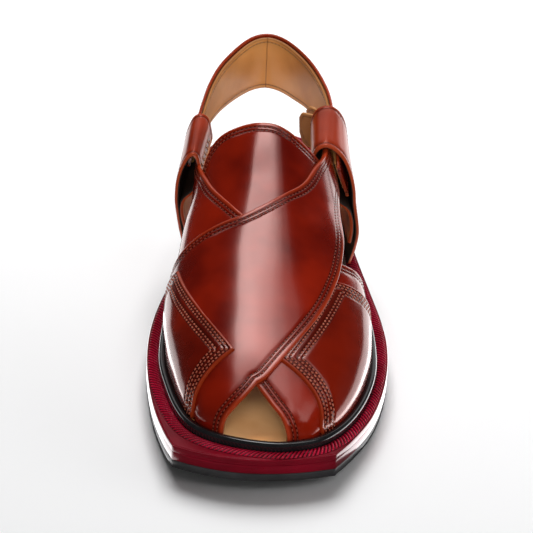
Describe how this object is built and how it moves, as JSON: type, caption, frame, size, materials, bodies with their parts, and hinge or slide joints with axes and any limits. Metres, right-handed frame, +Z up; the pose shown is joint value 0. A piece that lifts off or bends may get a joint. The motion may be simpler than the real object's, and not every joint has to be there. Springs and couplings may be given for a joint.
{
  "type": "norozi chappal",
  "caption": "Left open-toe dress sandal: crossed leather straps over a tongue, heel strap held by folded side keepers, on a square-toed layered sole with a low heel.",
  "frame": {"origin": "on the floor, under the centre of the bounding box", "axes": "+X towards the wearer's left, the outer side of the foot; +Y from toe to heel; +Z up; heel and forefoot stand on z = 0"},
  "size_m": [0.1162, 0.286, 0.0875],
  "materials": {
    "upper_leather": "polished red-brown burnished leather",
    "strap_lining": "matt tan lining leather",
    "crimson_leather": "satin crimson dyed welt and midsole leather",
    "black_rubber": "satin black rubber"
  },
  "bodies": {
    "root": {"outsole": "black_rubber", "heel_block": "black_rubber", "rand": "black_rubber", "midsole": "crimson_leather", "welt": "crimson_leather", "insole": "strap_lining", "strap_tail": "strap_lining", "upper": "upper_leather", "tongue": "upper_leather", "heel_strap": "upper_leather", "keeper_medial": "upper_leather", "keeper_lateral": "upper_leather"}
  },
  "joints": []
}
